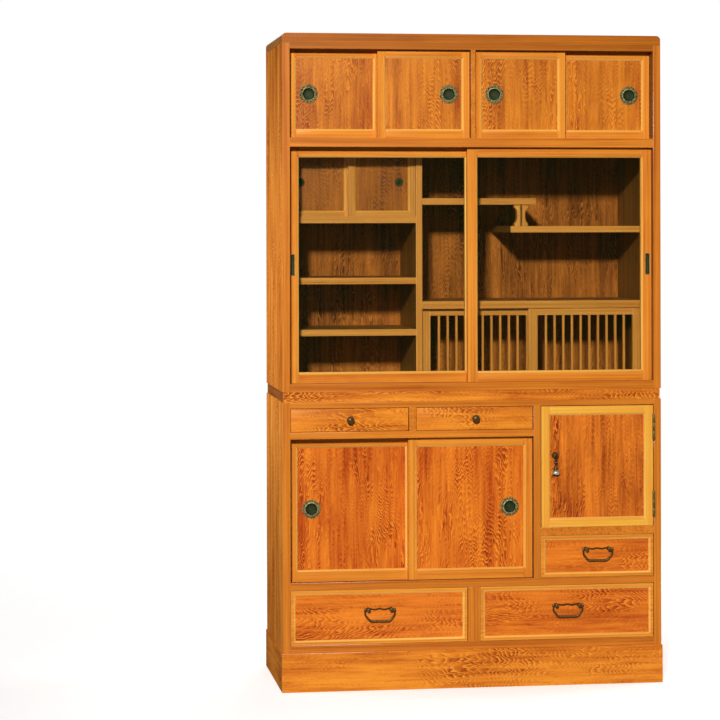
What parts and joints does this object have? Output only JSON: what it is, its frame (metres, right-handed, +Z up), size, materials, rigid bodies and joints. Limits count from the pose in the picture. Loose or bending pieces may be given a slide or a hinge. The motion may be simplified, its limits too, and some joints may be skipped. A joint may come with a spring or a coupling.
{
  "type": "kitchen cabinet",
  "caption": "Tall two-stage Japanese mizuya kitchen cabinet in figured cedar with sliding panel and glass doors, lattice doors, staggered display shelves and drawers with bails.",
  "frame": {"origin": "under the middle of the cabinet's bounding box, at floor level", "axes": "+Z up, +Y from the front to the back, +X to the right of someone facing the front"},
  "size_m": [1.066, 0.439, 1.8],
  "materials": {
    "case_wood": "clear glossy lacquer over straight cedar grain",
    "plinth_wood": "clear glossy lacquer over figured cedar",
    "shelf_wood": "clear lacquer over straight cedar grain",
    "back_wood": "satin lacquer over figured cedar",
    "hidden_wood": "planed, unfinished",
    "door_wood": "clear glossy lacquer, flame figure in the panels",
    "lattice_wood": "clear satin lacquer",
    "drawer_wood": "clear glossy lacquer on the fronts, plain boxes",
    "hinge_metal": "darkened brass",
    "pull_metal": "patinated dark green-grey",
    "bail_metal": "patinated dark brown",
    "pane_glass": "clear polished float glass"
  },
  "bodies": {
    "case": {"lower_sides": "case_wood", "lower_top_board": "case_wood", "lower_mid_board": "case_wood", "lower_bottom_board": "case_wood", "lower_partition": "case_wood", "lower_shelves": "case_wood", "drawer_dividers": "case_wood", "upper_sides": "case_wood", "upper_top_board": "case_wood", "upper_mid_board": "case_wood", "upper_bottom_board": "case_wood", "upper_partitions": "case_wood", "waist_band": "case_wood", "plinth": "plinth_wood", "display_shelves": "shelf_wood", "shelf_strut": "shelf_wood", "back_panels": "back_wood", "guides_and_stops": "hidden_wood", "case_hinge_leaves": "hinge_metal"},
    "top_door_1": {"top_door_1": "door_wood", "top_door_1_pull": "pull_metal"},
    "top_door_2": {"top_door_2": "door_wood", "top_door_2_pull": "pull_metal"},
    "top_door_3": {"top_door_3": "door_wood", "top_door_3_pull": "pull_metal"},
    "top_door_4": {"top_door_4": "door_wood", "top_door_4_pull": "pull_metal"},
    "glass_door_left": {"glass_door_left_frame": "door_wood", "glass_door_left_pane": "pane_glass", "glass_door_left_pull": "pull_metal"},
    "glass_door_right": {"glass_door_right_frame": "door_wood", "glass_door_right_pane": "pane_glass", "glass_door_right_pull": "pull_metal"},
    "small_door_left": {"small_door_left": "door_wood", "small_door_left_pull": "pull_metal"},
    "small_door_right": {"small_door_right": "door_wood", "small_door_right_pull": "pull_metal"},
    "lattice_door_left": {"lattice_door_left": "lattice_wood"},
    "lattice_door_right": {"lattice_door_right": "lattice_wood"},
    "lower_door_left": {"lower_door_left": "door_wood", "lower_door_left_pull": "pull_metal"},
    "lower_door_right": {"lower_door_right": "door_wood", "lower_door_right_pull": "pull_metal"},
    "small_drawer_left": {"small_drawer_left": "drawer_wood", "small_drawer_left_knob": "bail_metal"},
    "small_drawer_right": {"small_drawer_right": "drawer_wood", "small_drawer_right_knob": "bail_metal"},
    "right_drawer": {"right_drawer": "drawer_wood", "right_drawer_posts": "bail_metal"},
    "bottom_drawer_left": {"bottom_drawer_left": "drawer_wood", "bottom_drawer_left_posts": "bail_metal"},
    "bottom_drawer_right": {"bottom_drawer_right": "drawer_wood", "bottom_drawer_right_posts": "bail_metal"},
    "hinged_door": {"hinged_door": "door_wood", "hinged_door_fittings": "hinge_metal"},
    "hinged_door_drop": {"hinged_door_drop": "bail_metal"},
    "right_drawer_bail": {"right_drawer_bail": "bail_metal"},
    "bottom_drawer_left_bail": {"bottom_drawer_left_bail": "bail_metal"},
    "bottom_drawer_right_bail": {"bottom_drawer_right_bail": "bail_metal"}
  },
  "joints": [
    {"name": "top_door_1_slide", "type": "slide", "parent": "case", "child": "top_door_1", "axis": [1, 0, 0], "range_m": [0, 0.24475]},
    {"name": "top_door_2_slide", "type": "slide", "parent": "case", "child": "top_door_2", "axis": [-1, 0, 0], "range_m": [0, 0.24475]},
    {"name": "top_door_3_slide", "type": "slide", "parent": "case", "child": "top_door_3", "axis": [1, 0, 0], "range_m": [0, 0.24475]},
    {"name": "top_door_4_slide", "type": "slide", "parent": "case", "child": "top_door_4", "axis": [-1, 0, 0], "range_m": [0, 0.24475]},
    {"name": "glass_door_left_slide", "type": "slide", "parent": "case", "child": "glass_door_left", "axis": [1, 0, 0], "range_m": [0, 0.4955]},
    {"name": "glass_door_right_slide", "type": "slide", "parent": "case", "child": "glass_door_right", "axis": [-1, 0, 0], "range_m": [0, 0.4955]},
    {"name": "small_door_left_slide", "type": "slide", "parent": "case", "child": "small_door_left", "axis": [1, 0, 0], "range_m": [0, 0.1785]},
    {"name": "small_door_right_slide", "type": "slide", "parent": "case", "child": "small_door_right", "axis": [-1, 0, 0], "range_m": [0, 0.1785]},
    {"name": "lattice_door_left_slide", "type": "slide", "parent": "case", "child": "lattice_door_left", "axis": [1, 0, 0], "range_m": [0, 0.3035]},
    {"name": "lattice_door_right_slide", "type": "slide", "parent": "case", "child": "lattice_door_right", "axis": [-1, 0, 0], "range_m": [0, 0.3035]},
    {"name": "lower_door_left_slide", "type": "slide", "parent": "case", "child": "lower_door_left", "axis": [1, 0, 0], "range_m": [0, 0.329]},
    {"name": "lower_door_right_slide", "type": "slide", "parent": "case", "child": "lower_door_right", "axis": [-1, 0, 0], "range_m": [0, 0.329]},
    {"name": "small_drawer_left_slide", "type": "slide", "parent": "case", "child": "small_drawer_left", "axis": [0, -1, 0], "range_m": [0, 0.26]},
    {"name": "small_drawer_right_slide", "type": "slide", "parent": "case", "child": "small_drawer_right", "axis": [0, -1, 0], "range_m": [0, 0.26]},
    {"name": "right_drawer_slide", "type": "slide", "parent": "case", "child": "right_drawer", "axis": [0, -1, 0], "range_m": [0, 0.28]},
    {"name": "bottom_drawer_left_slide", "type": "slide", "parent": "case", "child": "bottom_drawer_left", "axis": [0, -1, 0], "range_m": [0, 0.28]},
    {"name": "bottom_drawer_right_slide", "type": "slide", "parent": "case", "child": "bottom_drawer_right", "axis": [0, -1, 0], "range_m": [0, 0.28]},
    {"name": "hinged_door_swing", "type": "hinge", "parent": "case", "child": "hinged_door", "pos_m": [0.508, -0.205, 0.60465], "axis": [0, 0, 1], "range_deg": [0, 170]},
    {"name": "hinged_door_drop_swing", "type": "hinge", "parent": "hinged_door", "child": "hinged_door_drop", "pos_m": [0.2295, -0.2065, 0.63565], "axis": [-1, 0, 0], "range_deg": [0, 90]},
    {"name": "right_drawer_bail_swing", "type": "hinge", "parent": "right_drawer", "child": "right_drawer_bail", "pos_m": [0.3485, -0.2025, 0.375], "axis": [-1, 0, 0], "range_deg": [-8, 170]},
    {"name": "bottom_drawer_left_bail_swing", "type": "hinge", "parent": "bottom_drawer_left", "child": "bottom_drawer_left_bail", "pos_m": [-0.26325, -0.2025, 0.221], "axis": [-1, 0, 0], "range_deg": [-8, 170]},
    {"name": "bottom_drawer_right_bail_swing", "type": "hinge", "parent": "bottom_drawer_right", "child": "bottom_drawer_right_bail", "pos_m": [0.26325, -0.2025, 0.221], "axis": [-1, 0, 0], "range_deg": [-8, 170]}
  ]
}
